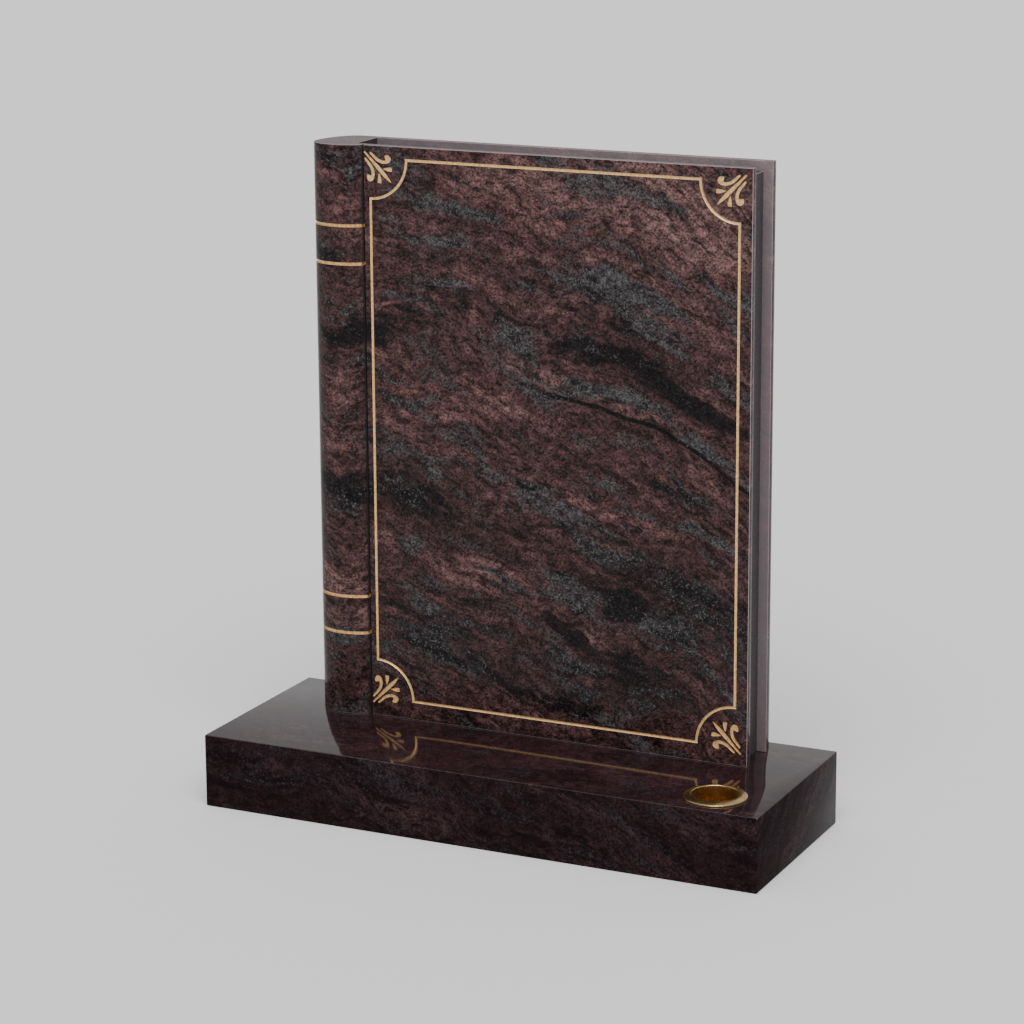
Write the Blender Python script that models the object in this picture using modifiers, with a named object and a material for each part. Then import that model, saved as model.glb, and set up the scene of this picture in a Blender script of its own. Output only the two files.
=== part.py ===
"""Book headstone: a closed book of polished granite standing on a granite base.

Metres, +Z up, front towards -Y. The origin is the middle of the base's underside.
"""
import math

import bmesh
import bpy
from mathutils import Vector

# Base: a plain polished block
BASE_WIDTH = 0.774
BASE_DEPTH = 0.280
BASE_HEIGHT = 0.097
BASE_ARRIS = 0.002

# Gap left between pieces that rest on each other
SEAT_GAP = 0.0003

# Book: one stone, spine on the left, fore-edge on the right
BOOK_WIDTH = 0.612
BOOK_HEIGHT = 0.762
BOOK_THICKNESS = 0.077
BOOK_SETBACK = 0.170
BOOK_ARRIS = 0.0015

# Spine: a round column in plan, proud of the front cover
SPINE_WIDTH = 0.080
SPINE_PROUD = 0.012
SPINE_FRONT_ROUND = 0.026
SPINE_STEPS = 14

# Joint groove between the spine and the front cover
GROOVE_OFFSET = 0.074
GROOVE_WIDTH = 0.0035
GROOVE_DEPTH = 0.008

# Covers and the page block that sits back between them
COVER_THICKNESS = 0.010
PAGE_SETBACK = 0.013
PAGE_START = 0.062

# Cut line around the front cover, with inverted round corners
LINE_WIDTH = 0.004
LINE_DEPTH = 0.0012
BORDER_FROM_GROOVE = 0.0095
BORDER_FROM_FORE_EDGE = 0.017
BORDER_FROM_TOP = 0.017
BORDER_FROM_FOOT = 0.025
BORDER_CORNER_RADIUS = 0.052
CORNER_STEPS = 8

# Cut bands across the spine, in two pairs
BAND_WIDTH = 0.004
BAND_DEPTH = 0.001
BAND_PAIR_GAP = 0.050
UPPER_PAIR_DROP = 0.130
LOWER_PAIR_RISE = 0.137

# Leaf sprig cut in each corner of the front cover
SPRIG_LENGTH = 0.054
SPRIG_OUTSIDE = 0.0118
SPRIG_DEPTH = 0.001

# Flower container: a metal cup with a flange, let into the base
CUP_FROM_RIGHT = 0.076
CUP_FROM_FRONT = 0.052
CUP_DEPTH = 0.075
CUP_WALL = 0.0015
MOUTH_RADIUS = 0.030
FLANGE_RADIUS = 0.040
FLANGE_EDGE = 0.0022
FLANGE_CROWN = 0.0045
CUP_STEPS = 48
HOLE_CLEARANCE = 0.0015
HOLE_BELOW_CUP = 0.005

# Cutters stand this far out of the surface that they cut
OVERCUT = 0.002

# Edges that turn by more than this get an arris
ARRIS_TURN = math.radians(40)

# Points of a turned form closer than this become one
MERGE_DISTANCE = 0.00001

# Places that follow from the sizes
BOOK_LEFT = -BOOK_WIDTH / 2
BOOK_RIGHT = BOOK_WIDTH / 2
COVER_FRONT = -BASE_DEPTH / 2 + BOOK_SETBACK
COVER_BACK = COVER_FRONT + BOOK_THICKNESS
BOOK_FOOT = BASE_HEIGHT + SEAT_GAP
BOOK_TOP = BOOK_FOOT + BOOK_HEIGHT
SPINE_CENTRE = BOOK_LEFT + SPINE_WIDTH / 2
SPINE_FRONT = COVER_FRONT - SPINE_PROUD
SPINE_WIDEST = SPINE_FRONT + SPINE_FRONT_ROUND
GROOVE_LEFT = BOOK_LEFT + GROOVE_OFFSET
GROOVE_RIGHT = GROOVE_LEFT + GROOVE_WIDTH
CUP_X = BASE_WIDTH / 2 - CUP_FROM_RIGHT
CUP_Y = -BASE_DEPTH / 2 + CUP_FROM_FRONT
CUP_RADIUS = MOUTH_RADIUS + CUP_WALL


def clear_scene():
    """Remove everything that the file starts with."""
    for thing in list(bpy.data.objects):
        bpy.data.objects.remove(thing, do_unlink=True)


def new_collection(name):
    """Add a collection to the scene."""
    collection = bpy.data.collections.new(name)
    bpy.context.scene.collection.children.link(collection)
    return collection


def finish(name, colour, roughness, metallic):
    """Make a Principled material with one colour."""
    material = bpy.data.materials.new(name)
    material.use_nodes = True
    shader = material.node_tree.nodes["Principled BSDF"]
    shader.inputs["Base Color"].default_value = (*colour, 1.0)
    shader.inputs["Roughness"].default_value = roughness
    shader.inputs["Metallic"].default_value = metallic
    material.diffuse_color = (*colour, 1.0)
    return material


def mesh_object(name, form, collection):
    """Turn a bmesh into a named object."""
    bmesh.ops.recalc_face_normals(form, faces=form.faces)
    mesh = bpy.data.meshes.new(name)
    form.to_mesh(mesh)
    form.free()
    thing = bpy.data.objects.new(name, mesh)
    collection.objects.link(thing)
    return thing


def block(name, low, high, collection):
    """A rectangular block between two corners."""
    form = bmesh.new()
    bmesh.ops.create_cube(form, size=1.0)
    for vertex in form.verts:
        for axis in range(3):
            middle = (low[axis] + high[axis]) / 2
            vertex.co[axis] = middle + vertex.co[axis] * (high[axis] - low[axis])
    return mesh_object(name, form, collection)


def prism(name, outline, along, collection):
    """A flat outline pushed along a vector into a closed solid."""
    form = bmesh.new()
    face = form.faces.new([form.verts.new(point) for point in outline])
    pushed = bmesh.ops.extrude_face_region(form, geom=[face])
    moved = [item for item in pushed["geom"] if isinstance(item, bmesh.types.BMVert)]
    bmesh.ops.translate(form, vec=along, verts=moved)
    return mesh_object(name, form, collection)


def frame_ring(name, outer, inner, along, collection):
    """The band between two outlines with as many points, pushed along a vector."""
    form = bmesh.new()
    count = len(outer)
    rings = []
    for outline, step in ((outer, 0), (inner, 0), (inner, 1), (outer, 1)):
        rings.append([form.verts.new(Vector(point) + Vector(along) * step) for point in outline])
    for ring, following in zip(rings, rings[1:] + rings[:1]):
        for i in range(count):
            j = (i + 1) % count
            form.faces.new((ring[i], ring[j], following[j], following[i]))
    return mesh_object(name, form, collection)


def turned(name, profile, steps, collection):
    """A profile of (radius, height) points turned around Z, listed from the axis at its top."""
    mesh = bpy.data.meshes.new(name)
    points = [(radius, 0.0, height) for radius, height in profile]
    mesh.from_pydata(points, [(i, i + 1) for i in range(len(points) - 1)], [])
    thing = bpy.data.objects.new(name, mesh)
    collection.objects.link(thing)
    screw = thing.modifiers.new("turn", "SCREW")
    screw.axis = "Z"
    screw.steps = steps
    screw.render_steps = steps
    screw.use_merge_vertices = True
    screw.merge_threshold = MERGE_DISTANCE
    return thing


def break_edges(thing, width, leave=None):
    """Take the sharp arris off a stone's edges, apart from those that leave(edge) is true for."""
    form = bmesh.new()
    form.from_mesh(thing.data)
    weight = form.edges.layers.float.new("bevel_weight_edge")
    for edge in form.edges:
        turns = edge.calc_face_angle() > ARRIS_TURN
        edge[weight] = float(turns and not (leave and leave(edge)))
    form.to_mesh(thing.data)
    form.free()
    bevel = thing.modifiers.new("arris", "BEVEL")
    bevel.width = width
    bevel.segments = 1
    bevel.limit_method = "WEIGHT"


def cut(thing, cutter):
    """Take a cutter out of a piece."""
    boolean = thing.modifiers.new(cutter.name, "BOOLEAN")
    boolean.operation = "DIFFERENCE"
    boolean.solver = "EXACT"
    boolean.object = cutter
    cutter.hide_render = True
    cutter.display_type = "WIRE"


def quarter(centre, radii, start, steps):
    """Points on a quarter of an ellipse, from a start angle, turning left."""
    points = []
    for i in range(steps + 1):
        angle = start + math.pi / 2 * i / steps
        points.append((centre[0] + radii[0] * math.cos(angle), centre[1] + radii[1] * math.sin(angle)))
    return points


def spine_front_curve(steps):
    """The spine's plan from its widest point to its foremost one."""
    centre = (SPINE_CENTRE, SPINE_WIDEST)
    return quarter(centre, (SPINE_WIDTH / 2, SPINE_FRONT_ROUND), math.pi, steps)


def spine_right_curve(end_x, steps):
    """The spine's plan from its foremost point back to a place at the joint groove."""
    half = SPINE_WIDTH / 2
    # A spine too narrow to reach the place ends at its own right side
    end = math.asin(min((end_x - SPINE_CENTRE) / half, 1.0))
    points = []
    for i in range(1, steps + 1):
        angle = end * i / steps
        x = SPINE_CENTRE + half * math.sin(angle)
        points.append((x, SPINE_WIDEST - SPINE_FRONT_ROUND * math.cos(angle)))
    return points


def spine_back_curve(steps):
    """The spine's plan from the flat back round to its widest point."""
    centre = (SPINE_CENTRE, SPINE_WIDEST)
    return quarter(centre, (SPINE_WIDTH / 2, COVER_BACK - SPINE_WIDEST), math.pi / 2, steps)


def book_plan():
    """The book seen from above, without its groove and page recess."""
    third = GROOVE_WIDTH / 3
    spine = spine_back_curve(SPINE_STEPS)[:-1] + spine_front_curve(SPINE_STEPS)
    spine += spine_right_curve(GROOVE_LEFT + third, SPINE_STEPS)
    cover = [(GROOVE_RIGHT - third, COVER_FRONT), (BOOK_RIGHT, COVER_FRONT), (BOOK_RIGHT, COVER_BACK)]
    return spine + cover


def in_groove(edge):
    """Whether an upright edge stands where the joint groove is cut."""
    return all(GROOVE_LEFT < vertex.co.x < GROOVE_RIGHT for vertex in edge.verts)


def page_recess(cutters):
    """The space over and beside the page block, between the two covers."""
    left = BOOK_LEFT + PAGE_START
    front = COVER_FRONT + COVER_THICKNESS
    depth = BOOK_THICKNESS - 2 * COVER_THICKNESS
    top = BOOK_TOP - PAGE_SETBACK
    right = BOOK_RIGHT - PAGE_SETBACK
    outline = [
        (left, front, top),
        (right, front, top),
        (right, front, BOOK_FOOT - OVERCUT),
        (BOOK_RIGHT + OVERCUT, front, BOOK_FOOT - OVERCUT),
        (BOOK_RIGHT + OVERCUT, front, BOOK_TOP + OVERCUT),
        (left, front, BOOK_TOP + OVERCUT),
    ]
    return prism("page_recess_cut", outline, (0, depth, 0), cutters)


def joint_groove(cutters):
    """The sawn groove between the spine and the front cover."""
    low = (GROOVE_LEFT, SPINE_FRONT - OVERCUT, BOOK_FOOT - OVERCUT)
    high = (GROOVE_RIGHT, COVER_FRONT + GROOVE_DEPTH, BOOK_TOP + OVERCUT)
    return block("joint_groove_cut", low, high, cutters)


def border_loop(offset):
    """The border line moved outwards by an offset, as (x, z) points on the cover."""
    left = GROOVE_RIGHT + BORDER_FROM_GROOVE
    right = BOOK_RIGHT - BORDER_FROM_FORE_EDGE
    low = BOOK_FOOT + BORDER_FROM_FOOT
    high = BOOK_TOP - BORDER_FROM_TOP
    radius = BORDER_CORNER_RADIUS - offset
    lean = math.asin(offset / radius)
    points = []
    for x, z, start in ((left, low, 90), (right, low, 180), (right, high, 270), (left, high, 0)):
        first = math.radians(start) + lean
        last = math.radians(start - 90) - lean
        for i in range(CORNER_STEPS + 1):
            angle = first + (last - first) * i / CORNER_STEPS
            points.append((x + radius * math.cos(angle), z + radius * math.sin(angle)))
    return points


def border_line(cutters):
    """The cut line around the front cover."""
    front = COVER_FRONT - OVERCUT
    outer = [(x, front, z) for x, z in border_loop(LINE_WIDTH / 2)]
    inner = [(x, front, z) for x, z in border_loop(-LINE_WIDTH / 2)]
    return frame_ring("border_line_cut", outer, inner, (0, OVERCUT + LINE_DEPTH, 0), cutters)


def bezier(controls, t):
    """A point on a Bezier curve with any number of control points."""
    points = [Vector(point) for point in controls]
    while len(points) > 1:
        points = [a.lerp(b, t) for a, b in zip(points, points[1:])]
    return points[0]


def stroke(controls, half_widths, steps):
    """The outline of a stroke along a curve whose half-width swells and tapers."""
    left = []
    right = []
    for i in range(steps + 1):
        t = i / steps
        middle = bezier(controls, t)
        ahead = bezier(controls, min(t + 0.01, 1.0)) - bezier(controls, max(t - 0.01, 0.0))
        side = Vector((-ahead.y, ahead.x)).normalized()
        half = bezier([(width, 0.0) for width in half_widths], t).x
        left.append(middle + side * half)
        right.append(middle - side * half)
    return left + right[::-1]


# Strokes of a sprig, as shares of its length: along its axis, then to the side.
# Each has its curve, its half-widths from root to tip, and its number of steps.
LANCE = (((0.0, 0.0), (0.50, 0.0), (1.0, 0.0)), (0.020, 0.014, 0.080, 0.008), 8)
VOLUTE = (
    ((0.115, 0.095), (0.36, 0.150), (0.46, -0.010), (0.80, 0.400), (0.52, 0.440), (0.49, 0.310)),
    (0.020, 0.040, 0.030, 0.030, 0.045, 0.050),
    12,
)
LEAF = (((0.63, 0.080), (0.70, 0.135), (0.77, 0.200), (0.825, 0.262)), (0.008, 0.030, 0.062, 0.030), 7)


def mirrored(form):
    """The same stroke on the other side of the sprig's axis."""
    controls, half_widths, steps = form
    return tuple((along, -side) for along, side in controls), half_widths, steps


SPRIG = (LANCE, VOLUTE, mirrored(VOLUTE), LEAF, mirrored(LEAF))


def sprig_cuts(cutters):
    """The strokes of the four sprigs, each pointing to the middle of the cover."""
    left = GROOVE_RIGHT + BORDER_FROM_GROOVE
    right = BOOK_RIGHT - BORDER_FROM_FORE_EDGE
    low = BOOK_FOOT + BORDER_FROM_FOOT
    high = BOOK_TOP - BORDER_FROM_TOP
    diagonal = math.sqrt(0.5)
    front = COVER_FRONT - OVERCUT
    cuts = []
    corners = [(left, low, 1, 1), (right, low, -1, 1), (right, high, -1, -1), (left, high, 1, -1)]
    for x, z, across, up in corners:
        for number, (controls, half_widths, steps) in enumerate(SPRIG):
            outline = []
            for point in stroke(controls, half_widths, steps):
                along = point.x * SPRIG_LENGTH - SPRIG_OUTSIDE
                side = point.y * SPRIG_LENGTH
                sideways = (along + side) * diagonal * across
                upwards = (along - side) * diagonal * up
                outline.append((x + sideways, front, z + upwards))
            name = f"sprig_cut_{len(cuts)}_{number}"
            cuts.append(prism(name, outline, (0, OVERCUT + SPRIG_DEPTH, 0), cutters))
    return cuts


def band_path():
    """The spine's plan from the flat back round into the joint groove, almost to its floor."""
    path = spine_back_curve(SPINE_STEPS)[:-1] + spine_front_curve(SPINE_STEPS)
    path += spine_right_curve(GROOVE_LEFT, SPINE_STEPS)
    path.append((GROOVE_LEFT, COVER_FRONT + GROOVE_DEPTH - BAND_DEPTH))
    return [Vector(point) for point in path]


def offset_path(path, distance):
    """A path moved to its right-hand side by a distance, with mitred corners."""
    moved = []
    for i, point in enumerate(path):
        before = (point - path[i - 1]).normalized() if i else (path[1] - point).normalized()
        after = (path[i + 1] - point).normalized() if i + 1 < len(path) else before
        way = (before + after).normalized()
        side = Vector((way.y, -way.x))
        moved.append(point + side * distance / max(way.dot(before), 0.5))
    return moved


def spine_bands(cutters):
    """The four bands cut round the spine."""
    path = band_path()
    outside = offset_path(path, -OVERCUT)
    inside = offset_path(path, BAND_DEPTH)
    outline = outside + inside[::-1]
    upper = BOOK_TOP - UPPER_PAIR_DROP
    lower = BOOK_FOOT + LOWER_PAIR_RISE
    bands = []
    for middle in (upper, lower):
        for side in (-1, 1):
            low = middle + side * BAND_PAIR_GAP / 2 - BAND_WIDTH / 2
            points = [(point.x, point.y, low) for point in outline]
            bands.append(prism(f"band_cut_{len(bands)}", points, (0, 0, BAND_WIDTH), cutters))
    return bands


def make_base(parts, cutters):
    """The base with the hole that takes the flower container."""
    low = (-BASE_WIDTH / 2, -BASE_DEPTH / 2, 0)
    high = (BASE_WIDTH / 2, BASE_DEPTH / 2, BASE_HEIGHT)
    base = block("base", low, high, parts)
    base.data.materials.append(finish("base granite", (0.045, 0.030, 0.032), 0.08, 0.0))
    break_edges(base, BASE_ARRIS)
    radius = CUP_RADIUS + HOLE_CLEARANCE
    floor = SEAT_GAP - CUP_DEPTH - HOLE_BELOW_CUP
    profile = [(0, OVERCUT), (radius, OVERCUT), (radius, floor), (0, floor)]
    hole = turned("container_hole_cut", profile, CUP_STEPS, cutters)
    hole.location = (CUP_X, CUP_Y, BASE_HEIGHT)
    cut(base, hole)


def make_book(parts, cutters):
    """The book with its groove, page recess and cut lines."""
    outline = [(x, y, BOOK_FOOT) for x, y in book_plan()]
    book = prism("book", outline, (0, 0, BOOK_HEIGHT), parts)
    book.data.materials.append(finish("book granite", (0.075, 0.045, 0.045), 0.08, 0.0))
    break_edges(book, BOOK_ARRIS, in_groove)
    cut(book, joint_groove(cutters))
    cut(book, page_recess(cutters))
    cut(book, border_line(cutters))
    for cutter in sprig_cuts(cutters) + spine_bands(cutters):
        cut(book, cutter)


def make_flower_container(parts):
    """The metal cup, hollow and open, whose flange rests on the base."""
    floor = -CUP_DEPTH
    profile = [
        (0, floor + CUP_WALL),
        (MOUTH_RADIUS, floor + CUP_WALL),
        (MOUTH_RADIUS, FLANGE_CROWN),
        (CUP_RADIUS, FLANGE_CROWN),
        (FLANGE_RADIUS, FLANGE_EDGE),
        (FLANGE_RADIUS, 0),
        (CUP_RADIUS, 0),
        (CUP_RADIUS, floor),
        (0, floor),
    ]
    container = turned("flower_container", profile, CUP_STEPS, parts)
    container.data.materials.append(finish("gilt metal", (0.80, 0.56, 0.27), 0.22, 1.0))
    container.location = (CUP_X, CUP_Y, BASE_HEIGHT + SEAT_GAP)


def main():
    """Build the headstone."""
    clear_scene()
    parts = new_collection("book headstone")
    cutters = new_collection("cutters")
    make_base(parts, cutters)
    make_book(parts, cutters)
    make_flower_container(parts)


main()
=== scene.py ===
"""Looks of the book headstone: polished granite, gilded cut lines, a gilt metal container."""

import math

import bmesh
import bpy
from mathutils import Matrix, Vector


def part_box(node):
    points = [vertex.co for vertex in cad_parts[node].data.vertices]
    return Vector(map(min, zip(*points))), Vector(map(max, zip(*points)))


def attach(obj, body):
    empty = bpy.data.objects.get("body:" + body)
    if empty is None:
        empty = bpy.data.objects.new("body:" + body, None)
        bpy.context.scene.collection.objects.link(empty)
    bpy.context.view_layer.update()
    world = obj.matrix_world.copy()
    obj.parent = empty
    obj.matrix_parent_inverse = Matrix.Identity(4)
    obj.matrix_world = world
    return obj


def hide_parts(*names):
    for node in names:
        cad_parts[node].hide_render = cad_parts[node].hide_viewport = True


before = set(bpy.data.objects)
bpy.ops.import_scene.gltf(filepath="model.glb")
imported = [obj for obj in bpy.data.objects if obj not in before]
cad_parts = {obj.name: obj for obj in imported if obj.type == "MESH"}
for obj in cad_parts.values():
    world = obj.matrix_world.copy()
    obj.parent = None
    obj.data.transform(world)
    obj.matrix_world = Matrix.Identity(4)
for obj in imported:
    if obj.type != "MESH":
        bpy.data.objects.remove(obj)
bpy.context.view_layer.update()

# Where the solids stand, in metres
BASE_LOW, BASE_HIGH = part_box("base")
BOOK_LOW, BOOK_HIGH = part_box("book")
CUP_LOW, CUP_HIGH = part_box("flower_container")

# Book, as in the solids
BOOK_THICKNESS = 0.077
SPINE_WIDTH = 0.080
SPINE_PROUD = 0.012
SPINE_FRONT_ROUND = 0.026
GROOVE_OFFSET = 0.074
GROOVE_WIDTH = 0.0035
GROOVE_DEPTH = 0.008
COVER_THICKNESS = 0.010
PAGE_SETBACK = 0.013
PAGE_START = 0.062
LINE_DEPTH = 0.0012
BORDER_FROM_GROOVE = 0.0095
BORDER_FROM_FORE_EDGE = 0.017
BORDER_FROM_TOP = 0.017
BORDER_FROM_FOOT = 0.025
BORDER_CORNER_RADIUS = 0.052
BAND_WIDTH = 0.004
BAND_DEPTH = 0.001
BAND_PAIR_GAP = 0.050
UPPER_PAIR_DROP = 0.130
LOWER_PAIR_RISE = 0.137
SPRIG_LENGTH = 0.054
SPRIG_OUTSIDE = 0.0118
SPRIG_DEPTH = 0.001

# Flower container and its hole, as in the solids
CUP_MOUTH_RADIUS = 0.030
CUP_WALL = 0.0015
CUP_SEAT_GAP = 0.0003
HOLE_RADIUS = 0.033
HOLE_BELOW_CUP = 0.005

# Finer than in the solids, or only here
LINE_WIDTH = 0.0034
ARRIS_WIDTH = 0.0013
BASE_ARRIS_WIDTH = 0.0017
CUP_FLOOR_ROUND = 0.004
CUP_FOOT_CHAMFER = 0.001
CUP_NECK = 0.012
CUP_LIP_ROUND = 0.0010
FLANGE_CROWN_INSET = 0.0006
FLANGE_CROWN_RISE = 0.0022
FLANGE_CROWN_POWER = 1.6
FLANGE_EDGE_RISE = 0.0016
FLANGE_CHAMFER = 0.0004

# How many steps a curve has
SPINE_STEPS = 40
CORNER_STEPS = 28
STROKE_STEPS = 30
ROUND_STEPS = 6
FLANGE_STEPS = 10
CIRCLE_STEPS = 96
ARRIS_SEGMENTS = 3

# How far a cutter stands out of what it cuts
OVERCUT = 0.002
# The point of the border line's V is cut off by this share
LINE_FLOOR = 0.25
# A stroke's direction is taken over this step to both sides
STROKE_STEP_ASIDE = 0.01
# A stroke's outline comes no nearer to its curve than this share of its half-width there
STROKE_FOLD = 0.97
# A mitred corner is drawn out no further than by this divisor
MITRE_LIMIT = 0.5
# Points nearer to each other than this are joined
WELD_DISTANCE = 0.000002
# A face looks along an axis when more than this share of its normal does
FACING = 0.5

# Angles between faces, in degrees: flat, worth an arris, and kept as an edge by smooth shading
FLAT_ANGLE = 0.05
SHARP_ANGLE = 30
BOOK_EDGE_ANGLE = 18
BASE_EDGE_ANGLE = 25
CUP_EDGE_ANGLE = 35

BOOK_LEFT = BOOK_LOW.x
BOOK_RIGHT = BOOK_HIGH.x
BOOK_FOOT = BOOK_LOW.z
BOOK_TOP = BOOK_HIGH.z
COVER_BACK = BOOK_HIGH.y
COVER_FRONT = COVER_BACK - BOOK_THICKNESS
SPINE_CENTRE = BOOK_LEFT + SPINE_WIDTH / 2
SPINE_FRONT = COVER_FRONT - SPINE_PROUD
SPINE_WIDEST = SPINE_FRONT + SPINE_FRONT_ROUND
GROOVE_LEFT = BOOK_LEFT + GROOVE_OFFSET
GROOVE_RIGHT = GROOVE_LEFT + GROOVE_WIDTH

# Middle of the border line's four sides
BORDER_LEFT = GROOVE_RIGHT + BORDER_FROM_GROOVE
BORDER_RIGHT = BOOK_RIGHT - BORDER_FROM_FORE_EDGE
BORDER_LOW = BOOK_FOOT + BORDER_FROM_FOOT
BORDER_HIGH = BOOK_TOP - BORDER_FROM_TOP

# Numbers of the materials on the book. Number 1 is the gold, which comes with the cutters.
STONE = 0
# A honed finish with a darker tint, painted shade: on the page block's faces and in the joint groove
HONED_SHADED = 2
# A honed finish with a lighter tint, painted light: on the book's top faces and the covers' inner faces
HONED_LIT = 3
# Much lighter granite on the book's arrises: a honed arris, and a painted highlight
ARRIS_HIGHLIGHT = 4
# Number of the second material on the base, on its top: a lighter, mauve tint than the sides, painted
# light
BASE_LIT_TOP = 1
# In a bevel, this number keeps the material of the faces beside it
OWN = -1


def mesh_object(name, form):
    """Turn a bmesh into an object."""
    bmesh.ops.recalc_face_normals(form, faces=form.faces)
    mesh = bpy.data.meshes.new(name)
    form.to_mesh(mesh)
    form.free()
    thing = bpy.data.objects.new(name, mesh)
    bpy.context.scene.collection.objects.link(thing)
    return thing


def prism(name, outline, along):
    """A flat outline pushed along a vector into a closed solid."""
    form = bmesh.new()
    face = form.faces.new([form.verts.new(point) for point in outline])
    pushed = bmesh.ops.extrude_face_region(form, geom=[face])
    moved = [item for item in pushed["geom"] if isinstance(item, bmesh.types.BMVert)]
    bmesh.ops.translate(form, vec=along, verts=moved)
    return mesh_object(name, form)


def ring(name, loops):
    """A closed band whose section is the list of loops, each with as many points."""
    form = bmesh.new()
    rows = [[form.verts.new(point) for point in loop] for loop in loops]
    count = len(rows[0])
    for row, following in zip(rows, rows[1:] + rows[:1]):
        for i in range(count):
            j = (i + 1) % count
            form.faces.new((row[i], row[j], following[j], following[i]))
    return mesh_object(name, form)


def apply_modifiers(thing):
    """Keep the shape that a thing's modifiers give."""
    graph = bpy.context.evaluated_depsgraph_get()
    mesh = bpy.data.meshes.new_from_object(thing.evaluated_get(graph), depsgraph=graph)
    thing.modifiers.clear()
    thing.data = mesh


def cut_all(thing, cutters, material):
    """Take the cutters out of a thing, and give the cut faces the cutters' material."""
    for cutter in cutters:
        cutter.data.materials.append(material)
        boolean = thing.modifiers.new(cutter.name, "BOOLEAN")
        boolean.operation = "DIFFERENCE"
        boolean.solver = "EXACT"
        boolean.material_mode = "TRANSFER"
        boolean.object = cutter
    apply_modifiers(thing)
    for cutter in cutters:
        bpy.data.objects.remove(cutter, do_unlink=True)


def quarter(centre, radii, start, steps):
    """Points on a quarter of an ellipse, from a start angle, turning left."""
    points = []
    for i in range(steps + 1):
        angle = start + math.pi / 2 * i / steps
        x = centre[0] + radii[0] * math.cos(angle)
        points.append((x, centre[1] + radii[1] * math.sin(angle)))
    return points


def circle(centre, radius, height):
    """Points on a level circle."""
    points = []
    for i in range(CIRCLE_STEPS):
        angle = 2 * math.pi * i / CIRCLE_STEPS
        x = centre.x + radius * math.cos(angle)
        points.append((x, centre.y + radius * math.sin(angle), height))
    return points


def spine_curve(end_x, steps):
    """The spine's plan from the flat back round its front to a place at the groove."""
    half = SPINE_WIDTH / 2
    centre = (SPINE_CENTRE, SPINE_WIDEST)
    points = quarter(centre, (half, COVER_BACK - SPINE_WIDEST), math.pi / 2, steps)[:-1]
    points += quarter(centre, (half, SPINE_FRONT_ROUND), math.pi, steps)
    end = math.asin((end_x - SPINE_CENTRE) / half)
    for i in range(1, steps + 1):
        angle = end * i / steps
        x = SPINE_CENTRE + half * math.sin(angle)
        points.append((x, SPINE_WIDEST - SPINE_FRONT_ROUND * math.cos(angle)))
    return points


def border_loop(offset, y):
    """The border line moved outwards by an offset, at a depth."""
    radius = BORDER_CORNER_RADIUS - offset
    lean = math.asin(offset / radius)
    corners = (
        (BORDER_LEFT, BORDER_LOW, 90),
        (BORDER_RIGHT, BORDER_LOW, 180),
        (BORDER_RIGHT, BORDER_HIGH, 270),
        (BORDER_LEFT, BORDER_HIGH, 0),
    )
    points = []
    for x, z, start in corners:
        first = math.radians(start) + lean
        last = math.radians(start - 90) - lean
        for i in range(CORNER_STEPS + 1):
            angle = first + (last - first) * i / CORNER_STEPS
            points.append((x + radius * math.cos(angle), y, z + radius * math.sin(angle)))
    return points


def border_cutter():
    """A V-cut line around the front cover, with a narrow flat floor."""
    half = LINE_WIDTH / 2
    floor = COVER_FRONT + LINE_DEPTH * (1 - LINE_FLOOR)
    front = COVER_FRONT - OVERCUT
    spread = half * (1 + OVERCUT / LINE_DEPTH)
    loops = [
        border_loop(spread, front),
        border_loop(half * LINE_FLOOR, floor),
        border_loop(-half * LINE_FLOOR, floor),
        border_loop(-spread, front),
    ]
    return ring("border_cut", loops)


def bezier(controls, t):
    """A point on a Bezier curve with any number of control points."""
    points = [Vector(point) for point in controls]
    while len(points) > 1:
        points = [a.lerp(b, t) for a, b in zip(points, points[1:])]
    return points[0]


def stroke(controls, half_widths):
    """The outline of a stroke along a curve whose half-width swells and tapers."""
    left = []
    right = []
    samples = []
    for i in range(STROKE_STEPS + 1):
        t = i / STROKE_STEPS
        middle = bezier(controls, t)
        before = bezier(controls, max(t - STROKE_STEP_ASIDE, 0.0))
        way = bezier(controls, min(t + STROKE_STEP_ASIDE, 1.0)) - before
        side = Vector((-way.y, way.x)).normalized()
        half = bezier([(width, 0.0) for width in half_widths], t).x
        samples.append((middle, half))
        left.append(middle + side * half)
        right.append(middle - side * half)
    # Points that a tight curl folds back into the stroke are left out, so the outline never crosses itself
    return [
        point
        for point in left + right[::-1]
        if all((point - middle).length > half * STROKE_FOLD for middle, half in samples)
    ]


# Strokes of a sprig, as shares of its length: along its axis, then to the side.
# Each has its curve and its half-widths from root to tip.
LANCE = (((0.0, 0.0), (0.50, 0.0), (1.0, 0.0)), (0.024, 0.018, 0.096, 0.008))
VOLUTE = (
    ((0.115, 0.095), (0.36, 0.150), (0.46, -0.010), (0.80, 0.400), (0.52, 0.440), (0.49, 0.310)),
    (0.022, 0.046, 0.037, 0.037, 0.052, 0.058),
)
LEAF = (((0.63, 0.080), (0.70, 0.135), (0.77, 0.200), (0.825, 0.262)), (0.010, 0.036, 0.074, 0.034))


def mirrored(form):
    """The same stroke on the other side of the sprig's axis."""
    controls, half_widths = form
    return tuple((along, -side) for along, side in controls), half_widths


SPRIG = (LANCE, VOLUTE, mirrored(VOLUTE), LEAF, mirrored(LEAF))


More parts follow.
